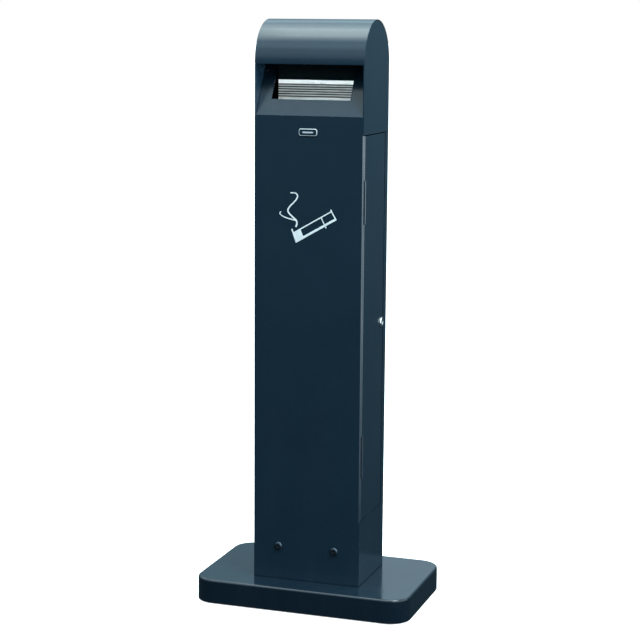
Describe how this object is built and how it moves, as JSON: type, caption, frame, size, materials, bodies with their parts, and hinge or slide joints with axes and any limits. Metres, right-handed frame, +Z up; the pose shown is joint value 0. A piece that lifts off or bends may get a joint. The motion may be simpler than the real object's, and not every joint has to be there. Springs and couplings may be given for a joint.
{
  "type": "ashtray bin",
  "caption": "Free-standing outdoor ashtray: a tall sheet-metal column on a flat base, with a hooded mouth, a ridged stub-out plate, a locking side door and a lift-out bin.",
  "frame": {"origin": "centre of the footprint on the ground", "axes": "+Z up, the mouth faces -Y, the door is on the +X side"},
  "size_m": [0.384, 0.24, 1],
  "materials": {
    "column": "dark blue-grey powder coat, satin gloss",
    "graphics": "silver-white enamel and print",
    "hinges": "blackened steel, oiled",
    "mouth_back": "near-black powder coat, stained by smoke",
    "door": "dark blue-grey powder coat, satin gloss",
    "base": "dark blue-grey powder coat, glossy",
    "stub_plate": "brushed stainless steel",
    "lock": "polished chrome",
    "zinc_sheet": "galvanised steel with a faint spangle",
    "bin": "galvanised steel, scuffed inside",
    "fasteners": "blackened zinc",
    "ballast": "cast concrete",
    "rubber": "black rubber"
  },
  "bodies": {
    "column": {"front_panel": "column", "left_side_panel": "column", "right_side_panel": "column", "back_and_hood_skin": "column", "chute_panel": "column", "chute_rivet_lower_left": "column", "chute_rivet_lower_right": "column", "chute_rivet_upper_left": "column", "chute_rivet_upper_right": "column", "badge": "graphics", "frame_hinge_leaf_lower": "hinges", "frame_hinge_leaf_upper": "hinges", "stub_plate_carrier": "mouth_back", "base_shell": "base", "stub_plate": "stub_plate", "spigot_bracket": "zinc_sheet", "base_underplate": "zinc_sheet", "hopper": "zinc_sheet", "bin_shelf": "zinc_sheet", "bin_stop": "zinc_sheet", "hinge_jamb": "zinc_sheet", "door_stop_lower": "zinc_sheet", "door_stop_upper": "zinc_sheet", "lock_strike": "zinc_sheet", "base_bolt_1": "fasteners", "base_bolt_2": "fasteners", "base_bolt_3": "fasteners", "base_bolt_4": "fasteners", "foot_bolt_front_left": "fasteners", "foot_bolt_front_right": "fasteners", "foot_bolt_rear_left": "fasteners", "foot_bolt_rear_right": "fasteners", "stub_plate_screw_left": "fasteners", "stub_plate_screw_right": "fasteners", "hinge_pin_lower": "fasteners", "hinge_pin_upper": "fasteners", "ballast_block": "ballast", "foot_pad_1": "rubber", "foot_pad_2": "rubber", "foot_pad_3": "rubber", "foot_pad_4": "rubber", "door_buffer_lower": "rubber", "door_buffer_upper": "rubber"},
    "door": {"door_panel": "door", "door_stiffener": "zinc_sheet", "door_hinge_leaf_lower": "hinges", "door_hinge_leaf_upper": "hinges", "lock_housing": "lock", "lock_nut": "fasteners"},
    "lock": {"lock_plug": "lock", "lock_cam": "zinc_sheet", "cam_screw": "fasteners"},
    "bin": {"bin_shell": "bin", "bail_ear_left": "bin", "bail_ear_right": "bin"},
    "bail": {"bail_handle": "fasteners"}
  },
  "joints": [
    {"name": "door_hinge", "type": "hinge", "parent": "column", "child": "door", "pos_m": [0.0925, -0.063, 0.4845], "axis": [0, 0, -1], "range_deg": [0, 105]},
    {"name": "lock_turn", "type": "hinge", "parent": "door", "child": "lock", "pos_m": [0.0955, 0.043, 0.485], "axis": [-1, 0, 0], "range_deg": [0, 90]},
    {"name": "bin_draw", "type": "slide", "parent": "column", "child": "bin", "axis": [1, 0, 0], "range_m": [0, 0.076]},
    {"name": "bail_swing", "type": "hinge", "parent": "bin", "child": "bail", "pos_m": [-0.007, -0.002, 0.6635], "axis": [1, 0, 0], "range_deg": [0, 180]}
  ],
  "couplings": [
    {"joint": "bin_draw", "follows": "door_hinge", "m_per_rad": 0.041}
  ]
}
